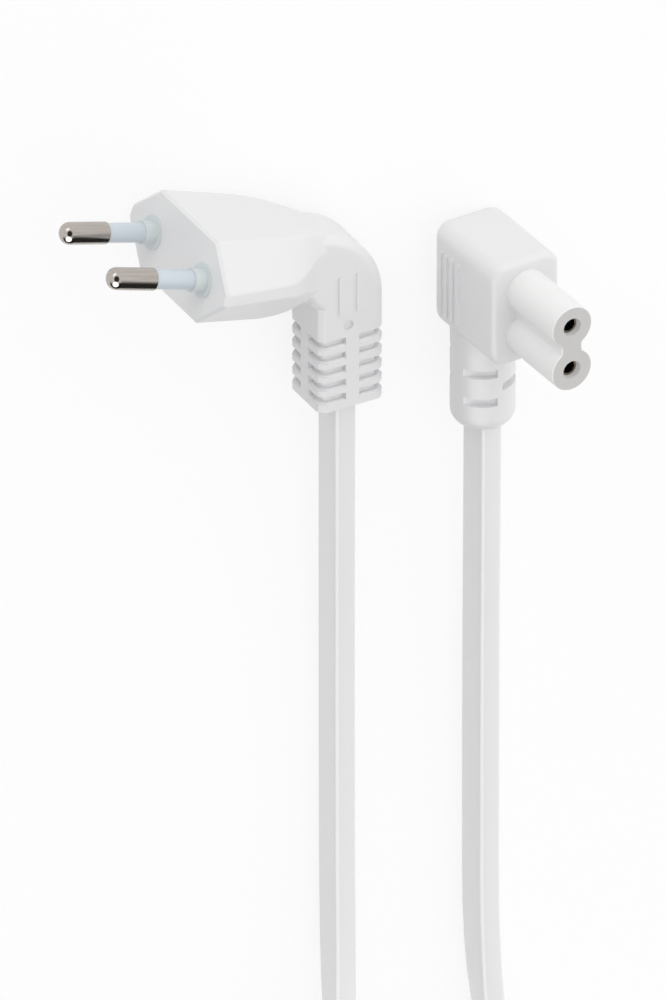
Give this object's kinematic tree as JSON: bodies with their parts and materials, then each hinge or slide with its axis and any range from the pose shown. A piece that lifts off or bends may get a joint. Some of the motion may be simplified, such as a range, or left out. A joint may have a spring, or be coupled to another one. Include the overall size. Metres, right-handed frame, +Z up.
{
  "type": "right-angled figure eight power connector on a flat cord with a two-pin plug",
  "caption": "White right-angled figure eight mains connector with ribbed grip, flat flexible cord and angled two-pin plug.",
  "frame": {"origin": "on the surface that the lead lies on, under the middle of the connector's bounding box", "axes": "+Z up; the cord leaves both heads along -Y; +X is the side that the nose leans to, away from the plug"},
  "size_m": [0.1076, 0.2851, 0.0356],
  "materials": {
    "soft_moulding": "satin soft PVC",
    "hard_nose": "satin hard plastic",
    "cord_sheath": "satin PVC sheath",
    "pin_insulation": "bluish white hard plastic",
    "nickel": "bright nickel plate",
    "contact_brass": "bright brass",
    "copper": "bright stranded copper",
    "brown_insulation": "satin PVC",
    "blue_insulation": "satin PVC"
  },
  "bodies": {
    "root": {"connector_housing": "soft_moulding", "contact_carrier": "hard_nose", "upper_contact": "contact_brass", "lower_contact": "contact_brass", "connector_brown_wire": "brown_insulation", "connector_brown_conductor": "copper", "connector_blue_wire": "blue_insulation", "connector_blue_conductor": "copper", "plug_housing": "soft_moulding", "pin_bridge": "pin_insulation", "upper_pin": "nickel", "lower_pin": "nickel", "upper_pin_sleeve": "pin_insulation", "lower_pin_sleeve": "pin_insulation", "plug_brown_wire": "brown_insulation", "plug_brown_conductor": "copper", "plug_blue_wire": "blue_insulation", "plug_blue_conductor": "copper", "connector_cord_run": "cord_sheath", "plug_cord_run": "cord_sheath", "cord_coil": "cord_sheath"}
  },
  "joints": []
}
